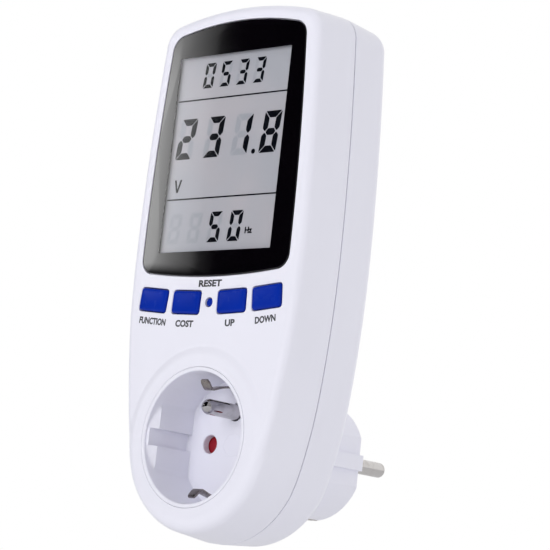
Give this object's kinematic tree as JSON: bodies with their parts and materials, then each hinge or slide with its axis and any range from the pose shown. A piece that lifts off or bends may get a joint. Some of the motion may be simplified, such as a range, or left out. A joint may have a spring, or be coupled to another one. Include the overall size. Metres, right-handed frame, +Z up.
{
  "type": "plug-in power meter",
  "caption": "Plug-in mains power meter: a tall case with a large segmented display, a key row, an earthed socket in front and an earthed plug behind.",
  "frame": {"origin": "centre of the plug's mating face, on the axis of the plug and the socket", "axes": "+Y into the wall socket, +Z up along the case, +X to the right of a reader facing the display"},
  "size_m": [0.0724, 0.0775, 0.165],
  "materials": {
    "white_plastic": "smooth gloss",
    "blue_plastic": "satin",
    "red_plastic": "smooth",
    "grey_plastic": "satin",
    "black_plastic": "satin",
    "lens": "polished, black printed border",
    "lcd_glass": "polished",
    "diffuser": "satin",
    "nickel": "polished plating",
    "brass": "stamped",
    "steel": "zinc plated",
    "copper": "stamped",
    "green_board": "solder mask",
    "tan_board": "bare laminate",
    "rubber": "matt",
    "yellow_plastic": "satin",
    "lead_sleeve": "satin"
  },
  "bodies": {
    "case": {"backlight": "diffuser", "backup_battery": "yellow_plastic", "board_connector": "black_plastic", "board_screw_1": "steel", "board_screw_2": "steel", "case_screw_1": "steel", "case_screw_2": "steel", "case_screw_3": "steel", "case_screw_4": "steel", "contact_carrier": "grey_plastic", "crystal": "steel", "display_lens": "lens", "earth_pin": "nickel", "earth_sleeve": "brass", "earth_strap": "brass", "front_shell": "white_plastic", "fuse_resistor": "grey_plastic", "lcd_frame": "black_plastic", "lcd_panel": "lcd_glass", "line_contact": "brass", "line_lead": "lead_sleeve", "main_board": "green_board", "mains_capacitor": "yellow_plastic", "mcu": "black_plastic", "metering_chip": "black_plastic", "neutral_contact": "brass", "neutral_lead": "lead_sleeve", "plug_earth_bottom": "nickel", "plug_earth_top": "nickel", "plug_insert": "grey_plastic", "plug_pin_line": "nickel", "plug_pin_neutral": "nickel", "power_board": "tan_board", "rear_shell": "white_plastic", "reset_switch": "black_plastic", "shunt": "copper", "shutter_pivot": "steel", "shutter_spring": "steel", "socket_cup": "white_plastic", "switch_1": "black_plastic", "switch_2": "black_plastic", "switch_3": "black_plastic", "switch_4": "black_plastic", "zebra_bottom": "rubber", "zebra_top": "rubber"},
    "key_1_body": {"key_1": "blue_plastic", "plunger_1": "grey_plastic"},
    "key_2_body": {"key_2": "blue_plastic", "plunger_2": "grey_plastic"},
    "key_3_body": {"key_3": "blue_plastic", "plunger_3": "grey_plastic"},
    "key_4_body": {"key_4": "blue_plastic", "plunger_4": "grey_plastic"},
    "reset_body": {"reset_key": "blue_plastic", "reset_plunger": "grey_plastic"},
    "shutter_body": {"shutter": "red_plastic"},
    "clip_top_body": {"earth_clip_top": "nickel"},
    "clip_bottom_body": {"earth_clip_bottom": "nickel"}
  },
  "joints": [
    {"name": "key_1_press", "type": "slide", "parent": "case", "child": "key_1_body", "axis": [0, 1, 0], "range_m": [0, 0.0005], "stiffness_N_per_m": 2500},
    {"name": "key_2_press", "type": "slide", "parent": "case", "child": "key_2_body", "axis": [0, 1, 0], "range_m": [0, 0.0005], "stiffness_N_per_m": 2500},
    {"name": "key_3_press", "type": "slide", "parent": "case", "child": "key_3_body", "axis": [0, 1, 0], "range_m": [0, 0.0005], "stiffness_N_per_m": 2500},
    {"name": "key_4_press", "type": "slide", "parent": "case", "child": "key_4_body", "axis": [0, 1, 0], "range_m": [0, 0.0005], "stiffness_N_per_m": 2500},
    {"name": "reset_press", "type": "slide", "parent": "case", "child": "reset_body", "axis": [0, 1, 0], "range_m": [0, 0.0005], "stiffness_N_per_m": 2500},
    {"name": "shutter_turn", "type": "hinge", "parent": "case", "child": "shutter_body", "pos_m": [0, -0.037, 0], "axis": [0, 1, 0], "range_deg": [0, 42], "stiffness_Nm_per_rad": 0.012},
    {"name": "clip_top_flex", "type": "hinge", "parent": "case", "child": "clip_top_body", "pos_m": [0, -0.0278, 0.0174], "axis": [-1, 0, 0], "range_deg": [0, 2.5], "stiffness_Nm_per_rad": 6},
    {"name": "clip_bottom_flex", "type": "hinge", "parent": "case", "child": "clip_bottom_body", "pos_m": [0, -0.0278, -0.0174], "axis": [1, 0, 0], "range_deg": [0, 2.5], "stiffness_Nm_per_rad": 6}
  ]
}
